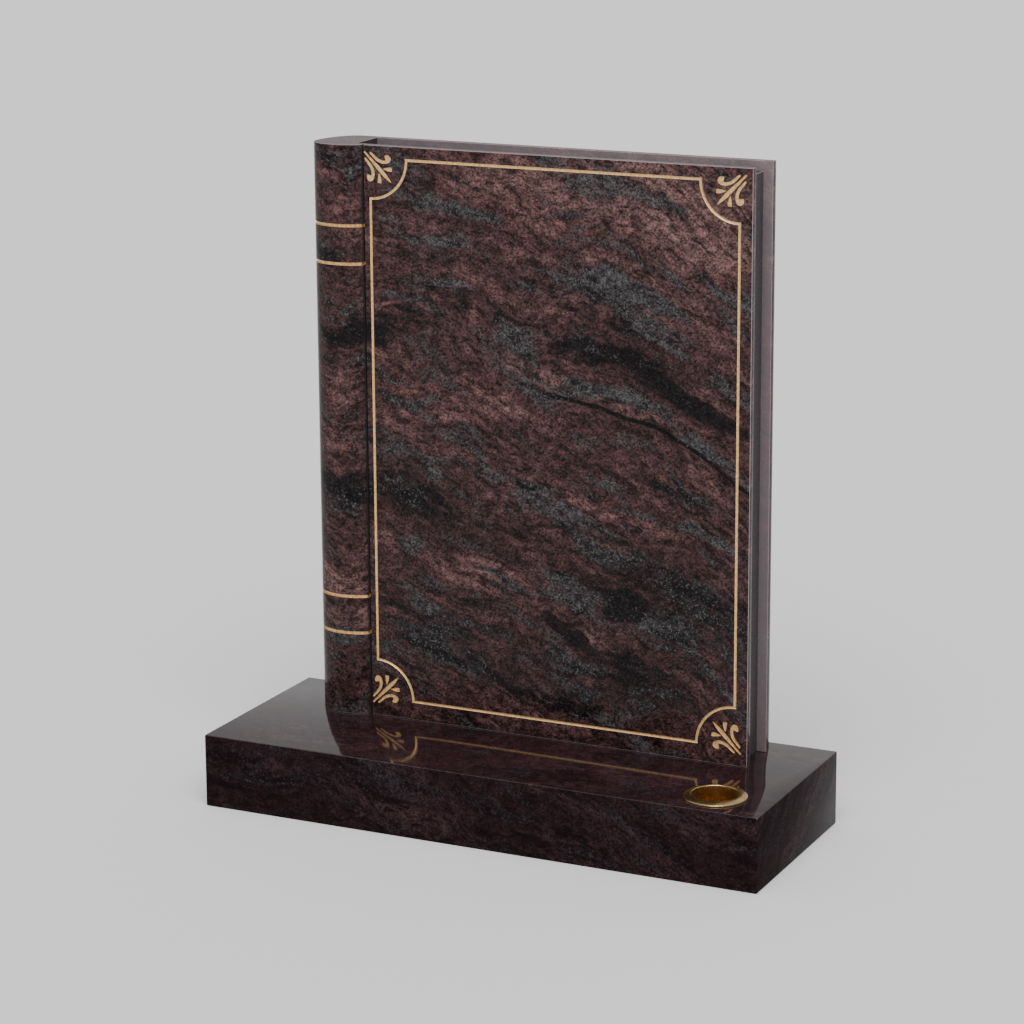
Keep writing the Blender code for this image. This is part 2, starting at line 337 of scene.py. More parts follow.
def sprig_cutters():
    """The strokes of the four sprigs, each pointing to the middle of the cover."""
    corners = (
        (BORDER_LEFT, BORDER_LOW, 1, 1),
        (BORDER_RIGHT, BORDER_LOW, -1, 1),
        (BORDER_RIGHT, BORDER_HIGH, -1, -1),
        (BORDER_LEFT, BORDER_HIGH, 1, -1),
    )
    diagonal = math.sqrt(0.5)
    front = COVER_FRONT - OVERCUT
    cuts = []
    for x, z, across, up in corners:
        for controls, half_widths in SPRIG:
            outline = []
            for point in stroke(controls, half_widths):
                along = point.x * SPRIG_LENGTH - SPRIG_OUTSIDE
                side = point.y * SPRIG_LENGTH
                sideways = (along + side) * diagonal * across
                upwards = (along - side) * diagonal * up
                outline.append((x + sideways, front, z + upwards))
            cuts.append(prism(f"sprig_cut_{len(cuts)}", outline, (0, OVERCUT + SPRIG_DEPTH, 0)))
    return cuts


def offset_path(path, distance):
    """A path moved to its right-hand side by a distance, with mitred corners."""
    moved = []
    for i, point in enumerate(path):
        before = (point - path[i - 1]).normalized() if i else (path[1] - point).normalized()
        after = (path[i + 1] - point).normalized() if i + 1 < len(path) else before
        way = (before + after).normalized()
        side = Vector((way.y, -way.x))
        moved.append(point + side * distance / max(way.dot(before), MITRE_LIMIT))
    return moved


def band_cutters():
    """The four bands cut round the spine."""
    path = [Vector(point) for point in spine_curve(GROOVE_LEFT, SPINE_STEPS)]
    path.append(Vector((GROOVE_LEFT, COVER_FRONT + GROOVE_DEPTH - BAND_DEPTH)))
    outline = offset_path(path, -OVERCUT) + offset_path(path, BAND_DEPTH)[::-1]
    bands = []
    for middle in (BOOK_TOP - UPPER_PAIR_DROP, BOOK_FOOT + LOWER_PAIR_RISE):
        for side in (-1, 1):
            low = middle + side * BAND_PAIR_GAP / 2 - BAND_WIDTH / 2
            points = [(point.x, point.y, low) for point in outline]
            bands.append(prism(f"band_cut_{len(bands)}", points, (0, 0, BAND_WIDTH)))
    return bands


def make_book(stone, gold, honed_shaded, inside, arris):
    """The book in finer mesh: a smooth spine, rounded arrises with a painted highlight, gilded cuts, honed
    faces with painted light and shade.
    """
    # The step from the spine to the cover lies inside the groove, which cuts it away
    third = GROOVE_WIDTH / 3
    plan = spine_curve(GROOVE_LEFT + third, SPINE_STEPS)
    plan += [(GROOVE_RIGHT - third, COVER_FRONT), (BOOK_RIGHT, COVER_FRONT), (BOOK_RIGHT, COVER_BACK)]
    book = prism("book_stone", [(x, y, BOOK_FOOT) for x, y in plan], (0, 0, BOOK_TOP - BOOK_FOOT))
    for material in (stone, gold, honed_shaded, inside, arris):
        book.data.materials.append(material)

    front = COVER_FRONT + COVER_THICKNESS
    back = COVER_BACK - COVER_THICKNESS
    left = BOOK_LEFT + PAGE_START
    top = BOOK_TOP - PAGE_SETBACK
    right = BOOK_RIGHT - PAGE_SETBACK
    recess = [
        (left, front, top),
        (right, front, top),
        (right, front, BOOK_FOOT - OVERCUT),
        (BOOK_RIGHT + OVERCUT, front, BOOK_FOOT - OVERCUT),
        (BOOK_RIGHT + OVERCUT, front, BOOK_TOP + OVERCUT),
        (left, front, BOOK_TOP + OVERCUT),
    ]
    cut_all(book, [prism("page_recess_cut", recess, (0, back - front, 0))], honed_shaded)
    # The book's top faces and the covers' inner faces take the lighter honed copy, painted light; the page
    # block keeps the darker copy, painted shade
    for face in book.data.polygons:
        over = face.normal.z > FACING and face.center.z > BOOK_TOP - PAGE_SETBACK / 2
        if over or (face.material_index == HONED_SHADED and abs(face.normal.y) > FACING):
            face.material_index = HONED_LIT

    # The joint groove takes the darker honed copy, painted shade in the crease
    low = Vector((GROOVE_LEFT, SPINE_FRONT - OVERCUT, BOOK_FOOT - OVERCUT))
    high = Vector((GROOVE_RIGHT, COVER_FRONT + GROOVE_DEPTH, BOOK_TOP + OVERCUT))
    corners = [
        (low.x, low.y, low.z),
        (high.x, low.y, low.z),
        (high.x, high.y, low.z),
        (low.x, high.y, low.z),
    ]
    cut_all(book, [prism("joint_groove_cut", corners, (0, 0, high.z - low.z))], honed_shaded)

    # The arrises take a much lighter granite: a honed arris, and a painted highlight. Beside the groove
    # the arris has the colour of the stone
    round_arrises(book, ARRIS_WIDTH, ARRIS_HIGHLIGHT)
    for face in book.data.polygons:
        beside_groove = GROOVE_LEFT - ARRIS_WIDTH < face.center.x < GROOVE_RIGHT + ARRIS_WIDTH
        if face.material_index == ARRIS_HIGHLIGHT and beside_groove and face.center.z < BOOK_TOP - ARRIS_WIDTH:
            face.material_index = STONE

    cut_all(book, [border_cutter()] + sprig_cutters() + band_cutters(), gold)
    weld(book)
    smooth(book, BOOK_EDGE_ANGLE)
    return book


def round_arrises(thing, width, material=OWN):
    """Round a stone's sharp outer edges, with the faces' own material or another one."""
    form = bmesh.new()
    form.from_mesh(thing.data)
    flat = math.radians(FLAT_ANGLE)
    bmesh.ops.dissolve_limit(form, angle_limit=flat, verts=form.verts, edges=form.edges)
    sharp = [
        edge
        for edge in form.edges
        if len(edge.link_faces) == 2 and edge.calc_face_angle_signed() > math.radians(SHARP_ANGLE)
    ]
    bmesh.ops.bevel(
        form,
        geom=sharp,
        offset=width,
        offset_type="OFFSET",
        segments=ARRIS_SEGMENTS,
        profile=0.5,
        affect="EDGES",
        clamp_overlap=True,
        material=material,
    )
    form.to_mesh(thing.data)
    form.free()


def weld(thing):
    """Join the points that cuts leave in nearly the same place."""
    form = bmesh.new()
    form.from_mesh(thing.data)
    bmesh.ops.remove_doubles(form, verts=form.verts, dist=WELD_DISTANCE)
    form.to_mesh(thing.data)
    form.free()


def smooth(thing, angle):
    """Smooth shading that keeps real edges."""
    for face in thing.data.polygons:
        face.use_smooth = True
    thing.data.set_sharp_from_angle(angle=math.radians(angle))


class Nodes:
    """Short ways to add nodes to a tree."""

    def __init__(self, tree):
        self.tree = tree

    def add(self, kind, **settings):
        node = self.tree.nodes.new(kind)
        for name, value in settings.items():
            setattr(node, name, value)
        return node

    def link(self, source, target):
        self.tree.links.new(source, target)

    def put(self, value, socket):
        """Set a socket to a number, or link it to an output."""
        if isinstance(value, bpy.types.NodeSocket):
            self.link(value, socket)
        else:
            socket.default_value = value

    def math(self, operation, a, b=0.0):
        node = self.add("ShaderNodeMath", operation=operation)
        self.put(a, node.inputs[0])
        self.put(b, node.inputs[1])
        return node.outputs[0]

    def centred(self, noise):
        """A noise that goes from minus a half to a half."""
        return self.math("SUBTRACT", noise, 0.5)

    def range(self, value, low, high, to_low=0.0, to_high=1.0, smooth=True):
        """A number moved from one range to another, and kept in it."""
        node = self.add("ShaderNodeMapRange")
        node.interpolation_type = "SMOOTHSTEP" if smooth else "LINEAR"
        self.put(value, node.inputs["Value"])
        self.put(low, node.inputs["From Min"])
        self.put(high, node.inputs["From Max"])
        self.put(to_low, node.inputs["To Min"])
        self.put(to_high, node.inputs["To Max"])
        return node.outputs["Result"]

    def noise(self, vector, scale, detail=4.0, roughness=0.55):
        """Soft noise, with its scale in cells a metre."""
        node = self.add("ShaderNodeTexNoise")
        self.link(vector, node.inputs["Vector"])
        node.inputs["Scale"].default_value = scale
        node.inputs["Detail"].default_value = detail
        node.inputs["Roughness"].default_value = roughness
        return node.outputs["Fac"]

    def mix(self, share, a, b):
        """A colour between two others, each a colour or an output."""
        node = self.add("ShaderNodeMix", data_type="RGBA")
        self.put(share, node.inputs[0])
        for value, socket in ((a, node.inputs[6]), (b, node.inputs[7])):
            if isinstance(value, tuple):
                socket.default_value = (*value, 1.0)
            else:
                self.link(value, socket)
        return node.outputs[2]

    def multiply(self, colour, factor):
        """A colour made lighter or darker by a number."""
        node = self.add("ShaderNodeVectorMath", operation="SCALE")
        self.link(colour, node.inputs[0])
        self.put(factor, node.inputs["Scale"])
        return node.outputs[0]

    def combine(self, x, y, z):
        node = self.add("ShaderNodeCombineXYZ")
        for value, socket in zip((x, y, z), node.inputs):
            self.put(value, socket)
        return node.outputs[0]


def new_material(name):
    """A node material, as (material, its nodes, its shader)."""
    material = bpy.data.materials.new(name)
    material.use_nodes = True
    tree = material.node_tree
    return material, Nodes(tree), tree.nodes["Principled BSDF"]


def object_place(nodes):
    """The object's own coordinates, in metres."""
    return nodes.add("ShaderNodeTexCoord").outputs["Object"]


# Stone colours, linear
PLUM = (0.0365, 0.0182, 0.0180)
PLUM_COOL = (0.0370, 0.0181, 0.0182)
PLUM_WARM = (0.0490, 0.0196, 0.0182)
ROSE = (0.0920, 0.0500, 0.0470)
PLUM_DARK = (0.0085, 0.0045, 0.0050)
CHARCOAL = (0.0034, 0.0037, 0.0048)
SLATE = (0.0300, 0.0315, 0.0335)
VEIN = (0.002, 0.0015, 0.002)
SPARKLE = (0.150, 0.144, 0.148)
SAWN = (0.118, 0.104, 0.108)

# Gold, from worn to bright, as leaf and as metal
LEAF_COLOURS = ((0.54, 0.31, 0.11), (0.86, 0.59, 0.28))
METAL_COLOURS = ((0.70, 0.48, 0.22), (0.90, 0.68, 0.36))

# The bands' lean in metres a metre of depth, to the side and back
LEAN_ASIDE = 0.6
LEAN_BACK = 0.9

# Noise: cells a metre, detail and roughness
WANDER_NOISE = (6.0, 3.0)
FINE_WANDER_NOISE = (26.0, 4.0, 0.6)
BLOTCH_NOISE = (75.0, 4.0, 0.6)
POLISH_NOISE = (700.0, 2.0)
# How far the bands wander, in metres for the whole range of the noise
WANDER_REACH = 0.075
FINE_WANDER_REACH = 0.022
VEIN_WANDER_REACH = 0.010

# Streaked noise: cells a metre along the flow and across it, seed, detail and roughness
WIDE_STREAKS = (4.0, 15.0, 0.0, 3.0, 0.5)
STREAKS = (13.0, 52.0, 3.1, 5.0, 0.62)
SECOND_STREAKS = (11.0, 38.0, 7.3, 5.0, 0.60)
THIN_STREAKS = (60.0, 150.0, 5.7, 4.0, 0.60)

# Where a tone begins and where it is full: in free stone on its noise, on the book on its patches
FREE_ROSE = (0.42, 0.66)
FREE_SLATE = (0.50, 0.64)
FREE_DARK = (0.47, 0.36)
PLACED_ROSE = (0.0, 1.30)
PLACED_SLATE = (0.06, 0.80)
PLACED_DARK = (0.28, 0.95)
PLACED_WARMTH = (0.0, 0.9)
# How strongly a noise breaks up the edge of a patch
RAGGEDNESS = 4.6
# The most that a tone covers
SLATE_SHARE = 0.80
DARK_SHARE = 0.88

# Ranges of a noise and what they become, as a share or a factor of the colour
SHADE_RANGE = (0.0, 1.0, 1.12, 0.45)
THIN_DARK_RANGE = (0.50, 0.36, 0.0, 0.75)
THIN_LIGHT_RANGE = (0.50, 0.66, 1.0, 1.35)
BLOTCH_RANGE = (0.30, 0.70, 0.72, 1.30)
GRAIN_RANGE = (0.0, 1.0, 0.32, 1.72)

# The vein: half-widths where it fades out and is full, and where it begins across the cover
VEIN_HALF_WIDTHS = (0.0042, 0.0016)
VEIN_START_RANGE = (-0.02, 0.05, 0.0, 0.9)

# The grain's crystals: cells a metre, which of them sparkle, and how much, in slate and elsewhere
CRYSTALS = 480.0
SPARKLE_EDGES = (0.80, 0.98)
SPARKLE_IN_SLATE = 0.45
SPARKLE_ELSEWHERE = 0.10
# How far the crystals' roughness lies below and above the stone's
SMOOTHER = 0.8
ROUGHER = 1.35

# The stone's flow on the cover: height of its middle streamline at places across, in metres
FLOW = ((-0.31, 0.545), (-0.15, 0.512), (0.02, 0.462), (0.13, 0.440), (0.20, 0.420), (0.31, 0.350))

# Soft oval patches of the book's stone, placed from its middle and the base's top: across, up,
# half length and half height in millimetres, lean in degrees, strength
MILLIMETRES = 1000
ROSE_PATCHES = (
    (150, 715, 330, 110, -6, 1.5),
    (240, 655, 110, 60, -35, 0.9),
    (-110, 450, 190, 42, -6, 0.7),
    (-130, 412, 80, 14, -4, 1.2),
    (-110, 360, 90, 18, -6, 0.8),
    (100, 318, 60, 22, -12, 0.9),
    (170, 310, 80, 18, -25, 0.8),
    (-60, 205, 90, 40, -15, 0.8),
    (-270, 395, 40, 60, 0, 0.8),
    (-265, 185, 40, 40, 0, 0.8),
    (-270, 700, 50, 60, 0, 0.5),
)
SLATE_PATCHES = (
    (170, 585, 210, 48, -10, 1.1),
    (-10, 497, 120, 40, -14, 0.9),
    (110, 462, 130, 18, -12, 1.2),
    (235, 415, 80, 18, -32, 1.1),
    (-140, 660, 70, 40, -30, 0.8),
    (0, 325, 70, 34, -10, 0.8),
    (100, 275, 110, 32, -20, 1.0),
    (-170, 242, 60, 22, -3, 1.0),
    (-60, 215, 90, 20, -22, 0.6),
    (-120, 110, 160, 55, -10, 0.9),
    (60, 190, 110, 30, -25, 0.7),
    (220, 170, 110, 60, -20, 0.7),
    (70, 95, 60, 30, -20, 0.7),
    (-270, 135, 50, 24, -3, 0.8),
)
SHADE_PATCHES = (
    (-200, 300, 260, 60, -12, 0.9),
    (200, 205, 240, 95, -18, 1.0),
    (-100, 110, 260, 85, -10, 0.7),
    (180, 485, 200, 50, -25, 0.8),
    (-230, 525, 150, 40, -4, 0.7),
    (160, 80, 150, 70, -10, 0.9),
)
DARK_PATCHES = (
    (105, 517, 105, 17, -8, 1.4),
    (205, 478, 90, 26, -28, 1.3),
    (265, 432, 60, 30, -35, 1.2),
    (-245, 527, 95, 22, -3, 1.3),
    (-285, 632, 40, 18, 0, 1.3),
    (-190, 300, 180, 30, -12, 0.95),
    (-285, 322, 50, 34, -5, 0.65),
    (8, 322, 45, 14, -10, 0.9),
    (138, 186, 46, 30, -8, 3.2),
    (160, 100, 90, 34, -15, 0.85),
    (230, 222, 110, 26, -18, 0.9),
    (-285, 128, 45, 16, -3, 1.1),
    (0, 60, 260, 34, -8, 0.8),
    (-150, 150, 170, 14, -8, 0.9),
    (-100, 90, 150, 14, -14, 0.9),
    (60, 140, 120, 14, -20, 0.9),
    (-20, 550, 130, 12, -6, 0.6),
)


def flow_height(nodes, across):
    """How high the middle streamline runs at a place across, as a smooth curve."""
    curve = nodes.add("ShaderNodeFloatCurve")
    low, high = FLOW[0][0], FLOW[-1][0]
    nodes.link(nodes.range(across, low, high, smooth=False), curve.inputs["Value"])
    # A new curve has two points
    points = curve.mapping.curves[0].points
    for number, (x, z) in enumerate(FLOW):
        place = ((x - low) / (high - low), z)
        if number < 2:
            points[number].location = place
        else:
            points.new(*place)
    curve.mapping.update()
    return curve.outputs["Value"]


def bump(nodes, shader, height, strength, distance):
    """Give a shader a fine bump from a height."""
    node = nodes.add("ShaderNodeBump")
    node.inputs["Strength"].default_value = strength
    node.inputs["Distance"].default_value = distance
    nodes.link(height, node.inputs["Height"])
    nodes.link(node.outputs["Normal"], shader.inputs["Normal"])


def patch_field(nodes, place, patches):
    """Soft oval patches on the front, added up."""
    total = None
    for across, up, half_long, half_high, lean, strength in patches:
        mapping = nodes.add("ShaderNodeMapping", vector_type="TEXTURE")
        mapping.inputs["Location"].default_value = (across / MILLIMETRES, up / MILLIMETRES, 0)
        mapping.inputs["Rotation"].default_value = (0, 0, math.radians(lean))
        size = (half_long / MILLIMETRES, half_high / MILLIMETRES, 1)
        mapping.inputs["Scale"].default_value = size
        nodes.link(place, mapping.inputs["Vector"])
        oval = nodes.add("ShaderNodeTexGradient", gradient_type="SPHERICAL")
        nodes.link(mapping.outputs[0], oval.inputs[0])
        patch = nodes.math("MULTIPLY", oval.outputs["Fac"], strength)
        total = patch if total is None else nodes.math("ADD", total, patch)
    return total


def ragged(nodes, field, noise, edges):
    """A field's mask with an edge that a noise breaks up."""
    breaking = nodes.math("MULTIPLY", nodes.centred(noise), RAGGEDNESS)
    return nodes.range(nodes.math("ADD", field, breaking), *edges)


def dark_vein(nodes, x, across_flow, fine_wander, colour):
    """A colour with the dark vein that crosses the cover."""
    wandering = nodes.math("MULTIPLY", fine_wander, VEIN_WANDER_REACH)
    distance = nodes.math("ABSOLUTE", nodes.math("ADD", across_flow, wandering))
    vein = nodes.range(distance, *VEIN_HALF_WIDTHS)
    vein = nodes.math("MULTIPLY", vein, nodes.range(x, *VEIN_START_RANGE))
    return nodes.mix(vein, colour, VEIN)


def granite(name, tint, roughness, ior, specular, placed, veil=0.0, veil_colour=SAWN):
    """Granite with flowing bands, streaks, patches and fine grain."""
    material, nodes, shader = new_material(name)
    place = object_place(nodes)
    axes = nodes.add("ShaderNodeSeparateXYZ")
    nodes.link(place, axes.inputs[0])
    x, y, z = axes.outputs

    # The bands run on through the stone, leaning back and to the side
    depth = nodes.math("SUBTRACT", y, COVER_FRONT)
    across = nodes.math("ADD", x, nodes.math("MULTIPLY", depth, LEAN_ASIDE))
    level = nodes.math("SUBTRACT", z, BASE_HIGH.z)
    level = nodes.math("SUBTRACT", level, nodes.math("MULTIPLY", depth, LEAN_BACK))

    # The coordinates wander a little, so that no band is straight
    wander = nodes.centred(nodes.noise(place, *WANDER_NOISE))
    fine_wander = nodes.centred(nodes.noise(place, *FINE_WANDER_NOISE))
    wide_part = nodes.math("MULTIPLY", wander, WANDER_REACH)
    fine_part = nodes.math("MULTIPLY", fine_wander, FINE_WANDER_REACH)
    wandering = nodes.math("ADD", wide_part, fine_part)
    across_flow = nodes.math("SUBTRACT", level, flow_height(nodes, x))
    band = nodes.math("ADD", across_flow, wandering)

    def streaked(along, over, seed, detail, rough):
        """Noise that is long along the flow and short across it."""
        stretched = nodes.combine(
            nodes.math("MULTIPLY", across, along),
            nodes.math("ADD", nodes.math("MULTIPLY", y, along), seed),
            nodes.math("MULTIPLY", band, over),
        )
        return nodes.noise(stretched, 1.0, detail, rough)

    streaks = streaked(*STREAKS)
    second = streaked(*SECOND_STREAKS)
    thin = streaked(*THIN_STREAKS)
    if placed:
        shifted = nodes.combine(across, nodes.math("ADD", level, wandering), 0.0)
        rose_field = patch_field(nodes, shifted, ROSE_PATCHES)
        slate_field = patch_field(nodes, shifted, SLATE_PATCHES)
        dark_field = patch_field(nodes, shifted, DARK_PATCHES)
        shade = nodes.range(patch_field(nodes, shifted, SHADE_PATCHES), *SHADE_RANGE)
        rose = ragged(nodes, rose_field, nodes.math("SUBTRACT", 1.0, second), PLACED_ROSE)
        slate = ragged(nodes, slate_field, second, PLACED_SLATE)
        dark = ragged(nodes, dark_field, nodes.math("SUBTRACT", 1.0, streaks), PLACED_DARK)
        plum = nodes.mix(nodes.range(rose_field, *PLACED_WARMTH), PLUM_COOL, PLUM_WARM)
    else:
        rose = nodes.range(streaked(*WIDE_STREAKS), *FREE_ROSE)
        slate = nodes.range(second, *FREE_SLATE)
        dark = nodes.range(streaks, *FREE_DARK)
        plum = PLUM

    colour = nodes.mix(rose, plum, ROSE)
    colour = nodes.mix(nodes.math("MULTIPLY", slate, SLATE_SHARE), colour, SLATE)
    if placed:
        colour = nodes.multiply(colour, shade)
    colour = nodes.mix(nodes.math("MULTIPLY", dark, DARK_SHARE), colour, CHARCOAL)
    colour = nodes.mix(nodes.range(thin, *THIN_DARK_RANGE), colour, PLUM_DARK)
    blotch = nodes.noise(place, *BLOTCH_NOISE)
    colour = nodes.multiply(colour, nodes.range(blotch, *BLOTCH_RANGE))
    colour = nodes.multiply(colour, nodes.range(thin, *THIN_LIGHT_RANGE))
    if placed:
        colour = dark_vein(nodes, x, across_flow, fine_wander, colour)

    # Grain: crystals about two millimetres across, some light, some nearly black
    crystals = nodes.add("ShaderNodeTexVoronoi")
    crystals.inputs["Scale"].default_value = CRYSTALS
    nodes.link(place, crystals.inputs["Vector"])
    chances = nodes.add("ShaderNodeSeparateColor")
    nodes.link(crystals.outputs["Color"], chances.inputs[0])
    grain = nodes.range(chances.outputs[0], *GRAIN_RANGE, smooth=False)
    colour = nodes.multiply(colour, grain)
    brightness = nodes.math("MULTIPLY", slate, SPARKLE_IN_SLATE)
    brightness = nodes.math("ADD", brightness, SPARKLE_ELSEWHERE)
    chosen = nodes.range(chances.outputs[1], *SPARKLE_EDGES)
    colour = nodes.mix(nodes.math("MULTIPLY", chosen, brightness), colour, SPARKLE)
    if veil:
        colour = nodes.mix(veil, colour, veil_colour)
    tinted = nodes.add("ShaderNodeVectorMath", operation="MULTIPLY")
    nodes.link(colour, tinted.inputs[0])
    tinted.inputs[1].default_value = tint

    nodes.link(tinted.outputs[0], shader.inputs["Base Color"])
    least, most = roughness * SMOOTHER, roughness * ROUGHER
    fleck = nodes.range(chances.outputs[2], 0.0, 1.0, least, most, smooth=False)
    nodes.link(fleck, shader.inputs["Roughness"])
    shader.inputs["IOR"].default_value = ior
    shader.inputs["Specular IOR Level"].default_value = specular
    bump(nodes, shader, nodes.noise(place, *POLISH_NOISE), strength=0.04, distance=0.0004)
    return material


def golden(name, wear_noise, colours, wear, metallic, roughness):
    """A golden surface, as (material, nodes, shader, place), whose colour and polish vary a little."""
    material, nodes, shader = new_material(name)
    place = object_place(nodes)
    worn = nodes.noise(place, *wear_noise)
    colour = nodes.mix(nodes.range(worn, *wear), *colours)
    nodes.link(colour, shader.inputs["Base Color"])
    shader.inputs["Metallic"].default_value = metallic
    nodes.link(nodes.range(worn, *roughness), shader.inputs["Roughness"])
    return material, nodes, shader, place


def gilding():
    """Gold leaf laid in the cuts."""
    material, nodes, shader, place = golden(
        "gold_leaf",
        wear_noise=(260.0, 4.0, 0.6),
        colours=LEAF_COLOURS,
        wear=(0.30, 0.70),
        metallic=0.35,
        roughness=(0.30, 0.70, 0.42, 0.30),
    )
    bump(nodes, shader, nodes.noise(place, 900.0, 3.0), strength=0.25, distance=0.0003)
    return material


def gilt_metal():
    """Polished gold-coloured metal with a faint haze from handling."""
    material, nodes, shader, place = golden(
        "gilt_metal",
        wear_noise=(90.0, 4.0, 0.6),
        colours=METAL_COLOURS,
        wear=(0.30, 0.72),
        metallic=1.0,
        roughness=(0.25, 0.75, 0.30, 0.16),
    )
    bump(nodes, shader, nodes.noise(place, 1400.0, 2.0), strength=0.05, distance=0.0002)
    return material


def container_profile():
    """The container's section from the middle of its floor inside to the middle of its underside."""
    seat = BASE_HIGH.z + CUP_SEAT_GAP
    foot = CUP_LOW.z
    floor = foot + CUP_WALL
    crown = CUP_HIGH.z
    mouth = CUP_MOUTH_RADIUS
    outside = mouth + CUP_WALL
    edge = (CUP_HIGH.x - CUP_LOW.x) / 2

    corner = (mouth - CUP_FLOOR_ROUND, floor + CUP_FLOOR_ROUND)
    floor_round = quarter(corner, (CUP_FLOOR_ROUND, CUP_FLOOR_ROUND), -math.pi / 2, ROUND_STEPS)
    lip = mouth + CUP_LIP_ROUND
    corner = (lip, crown - CUP_LIP_ROUND)
    lip_round = quarter(corner, (CUP_LIP_ROUND, CUP_LIP_ROUND), math.pi / 2, ROUND_STEPS)[::-1]
    profile = [(0.0, floor)] + floor_round + [(mouth, seat - CUP_NECK)] + lip_round
    for i in range(1, FLANGE_STEPS + 1):
        t = i / FLANGE_STEPS
        fall = (crown - seat - FLANGE_CROWN_RISE) * t ** FLANGE_CROWN_POWER
        profile.append((lip + (edge - FLANGE_CROWN_INSET - lip) * t, crown - fall))
    profile += [
        (edge, seat + FLANGE_EDGE_RISE),
        (edge, seat + FLANGE_CHAMFER),
        (edge - FLANGE_CHAMFER, seat),
        (outside, seat),
        (outside, foot + CUP_FOOT_CHAMFER),
        (outside - CUP_FOOT_CHAMFER, foot),
        (0.0, foot),
    ]
    return profile


def make_container(metal):
    """The flower container with a rolled, softly crowned flange."""
    centre = (CUP_LOW + CUP_HIGH) / 2
    form = bmesh.new()
    rows = []
    for radius, height in container_profile():
        on_axis = radius == 0.0
        points = [(centre.x, centre.y, height)] if on_axis else circle(centre, radius, height)
        rows.append([form.verts.new(point) for point in points])
    for low, high in zip(rows, rows[1:]):
        for i in range(CIRCLE_STEPS):
            j = (i + 1) % CIRCLE_STEPS
            if len(low) == 1:
                form.faces.new((low[0], high[i], high[j]))
            elif len(high) == 1:
                form.faces.new((low[i], low[j], high[0]))
            else:
                form.faces.new((low[i], low[j], high[j], high[i]))
    cup = mesh_object("container_metal", form)
    cup.data.materials.append(metal)
    smooth(cup, CUP_EDGE_ANGLE)
    return cup


def make_base(stone, top):
    """The base block with rounded arrises and the container's hole."""
    form = bmesh.new()
    bmesh.ops.create_cube(form, size=1.0)
    for vertex in form.verts:
        for axis in range(3):
            middle = (BASE_LOW[axis] + BASE_HIGH[axis]) / 2
            vertex.co[axis] = middle + vertex.co[axis] * (BASE_HIGH[axis] - BASE_LOW[axis])
    base = mesh_object("base_stone", form)
    base.data.materials.append(stone)
    base.data.materials.append(top)
    round_arrises(base, BASE_ARRIS_WIDTH)
    centre = (CUP_LOW + CUP_HIGH) / 2
    outline = circle(centre, HOLE_RADIUS, CUP_LOW.z - HOLE_BELOW_CUP)
    cut_all(base, [prism("hole_cut", outline, (0, 0, BASE_HIGH.z))], stone)
    # The top faces take the lighter copy, painted light
    for face in base.data.polygons:
        if face.normal.z > FACING:
            face.material_index = BASE_LIT_TOP
    smooth(base, BASE_EDGE_ANGLE)
    return base


# The floor, in metres: half its width, and how far it lies under the base
FLOOR_HALF_WIDTH = 60.0
FLOOR_DROP = 0.0005
FLOOR_COLOUR = (0.86, 0.86, 0.86, 1.0)
FLOOR_ROUGHNESS = 0.9
FLOOR_SPECULAR = 0.1

# The light: surroundings and a wide soft key, from this side, spread in degrees
WORLD_COLOUR = (1.0, 1.0, 1.0, 1.0)
WORLD_STRENGTH = 0.50
KEY_PLACE = (0.75, -1.6, 2.4)
KEY_SPREAD = 50
KEY_STRENGTH = 3.0


def soft_light(name, place, spread, strength):
    """Soft light over the whole floor, from the side where the place lies."""
    light = bpy.data.lights.new(name, "SUN")
    light.angle = math.radians(spread)
    light.energy = strength
    lamp = bpy.data.objects.new(name, light)
    lamp.location = place
    lamp.rotation_euler = (-Vector(place)).to_track_quat("-Z", "Y").to_euler()
    bpy.context.scene.collection.objects.link(lamp)


def make_floor():
    """A plain pale floor."""
    form = bmesh.new()
    bmesh.ops.create_grid(form, x_segments=1, y_segments=1, size=FLOOR_HALF_WIDTH)
    bmesh.ops.translate(form, vec=(0, 0, -FLOOR_DROP), verts=form.verts)
    floor = mesh_object("floor", form)
    material = bpy.data.materials.new("floor")
    material.use_nodes = True
    shader = material.node_tree.nodes["Principled BSDF"]
    shader.inputs["Base Color"].default_value = FLOOR_COLOUR
    shader.inputs["Roughness"].default_value = FLOOR_ROUGHNESS
    shader.inputs["Specular IOR Level"].default_value = FLOOR_SPECULAR
    floor.data.materials.append(material)


def make_world():
    """Even, pale studio surroundings."""
    world = bpy.data.worlds.new("studio")
    world.use_nodes = True
    background = world.node_tree.nodes["Background"]
    background.inputs["Color"].default_value = WORLD_COLOUR
    background.inputs["Strength"].default_value = WORLD_STRENGTH
    bpy.context.scene.world = world


# Camera: turn round the object, height above level and roll, in degrees, distance and target in
# metres, lens and sensor in millimetres, shift as a share of the picture, and how far it sees in metres
CAMERA_AZIMUTH = 25.642
CAMERA_ELEVATION = 13.288
CAMERA_ROLL = -0.349
CAMERA_DISTANCE = 4.1187
CAMERA_TARGET = (-0.0058, 0.0, 0.4834)
CAMERA_LENS = 114.20
CAMERA_SHIFT = -60 / 1024
CAMERA_SENSOR = 36.0
CAMERA_SIGHT = 100.0


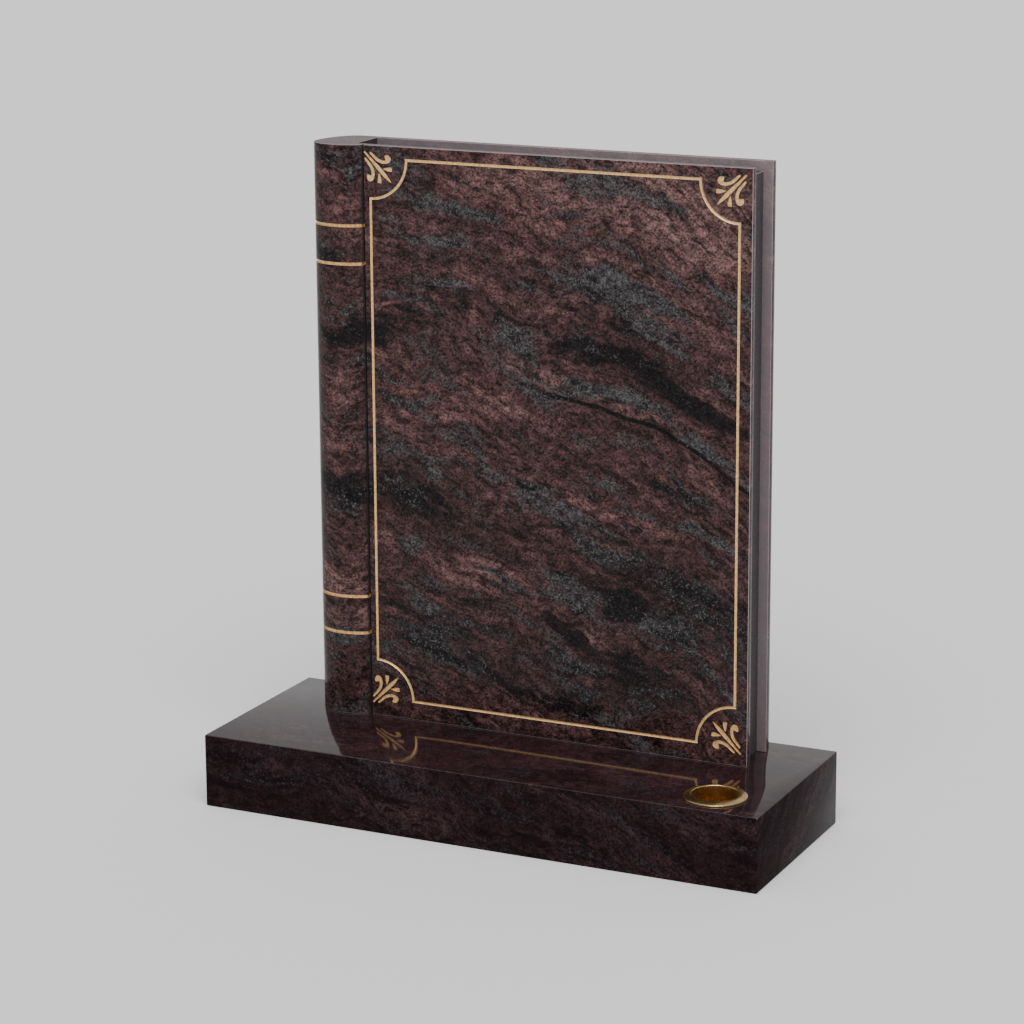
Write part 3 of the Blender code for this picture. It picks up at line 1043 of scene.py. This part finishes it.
def make_camera():
    """The camera at the photograph's angle."""
    azimuth = math.radians(CAMERA_AZIMUTH)
    elevation = math.radians(CAMERA_ELEVATION)
    roll = math.radians(CAMERA_ROLL)
    back = Vector(
        (
            math.sin(azimuth) * math.cos(elevation),
            -math.cos(azimuth) * math.cos(elevation),
            math.sin(elevation),
        )
    )
    right = Vector((0, 0, 1)).cross(back).normalized()
    up = back.cross(right)
    rolled_right = math.cos(roll) * right + math.sin(roll) * up
    rolled_up = -math.sin(roll) * right + math.cos(roll) * up
    data = bpy.data.cameras.new("camera")
    data.sensor_width = CAMERA_SENSOR
    data.lens = CAMERA_LENS
    data.shift_y = CAMERA_SHIFT
    data.clip_end = CAMERA_SIGHT
    camera = bpy.data.objects.new("camera", data)
    turn = Matrix((rolled_right, rolled_up, back)).transposed().to_4x4()
    camera.matrix_world = Matrix.Translation(Vector(CAMERA_TARGET) + back * CAMERA_DISTANCE) @ turn
    bpy.context.scene.collection.objects.link(camera)
    bpy.context.scene.camera = camera


def main():
    """Dress the frame and light it."""
    sawn = {"roughness": 0.50, "ior": 1.40, "specular": 0.3, "placed": True, "veil": 0.72}
    book_stone = granite(
        "book_granite", tint=(1.0, 1.0, 1.0), roughness=0.10, ior=1.19, specular=0.5, placed=True
    )
    # Two copies of the honed granite: a darker one, painted shade, on the page block and in the groove,
    # and a lighter one, painted light, on the covers' inner faces and the book's top
    shaded_page_stone = granite("page_and_groove_shaded_granite", tint=(0.56, 0.59, 0.62), **sawn)
    lit_inner_and_top_stone = granite("cover_inside_and_top_lit_granite", tint=(1.74, 1.70, 1.74), **sawn)
    base_stone = granite(
        "base_granite",
        tint=(0.43, 0.44, 0.51),
        roughness=0.08,
        ior=1.05,
        specular=0.5,
        placed=False,
        veil=0.45,
        veil_colour=PLUM,
    )
    # The base's top: a lighter, mauve tint than the sides, painted light, and a stronger polish
    lit_top_stone = granite(
        "base_top_lit_granite",
        tint=(0.62, 0.52, 0.62),
        roughness=0.05,
        ior=1.50,
        specular=0.9,
        placed=False,
        veil=0.45,
        veil_colour=PLUM,
    )
    # The book's arrises: a honed arris, with a much lighter tint that paints their highlight
    arris_highlight_stone = granite(
        "honed_arris_highlight_granite",
        tint=(2.70, 2.50, 2.55),
        roughness=0.30,
        ior=1.40,
        specular=0.3,
        placed=True,
        veil=0.80,
    )
    gold = gilding()

    book = make_book(book_stone, gold, shaded_page_stone, lit_inner_and_top_stone, arris_highlight_stone)
    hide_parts("book")
    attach(book, "root")

    base = make_base(base_stone, lit_top_stone)
    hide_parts("base")
    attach(base, "root")

    cup = make_container(gilt_metal())
    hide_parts("flower_container")
    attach(cup, "root")

    make_floor()
    make_world()
    soft_light("key", KEY_PLACE, KEY_SPREAD, KEY_STRENGTH)
    make_camera()


main()
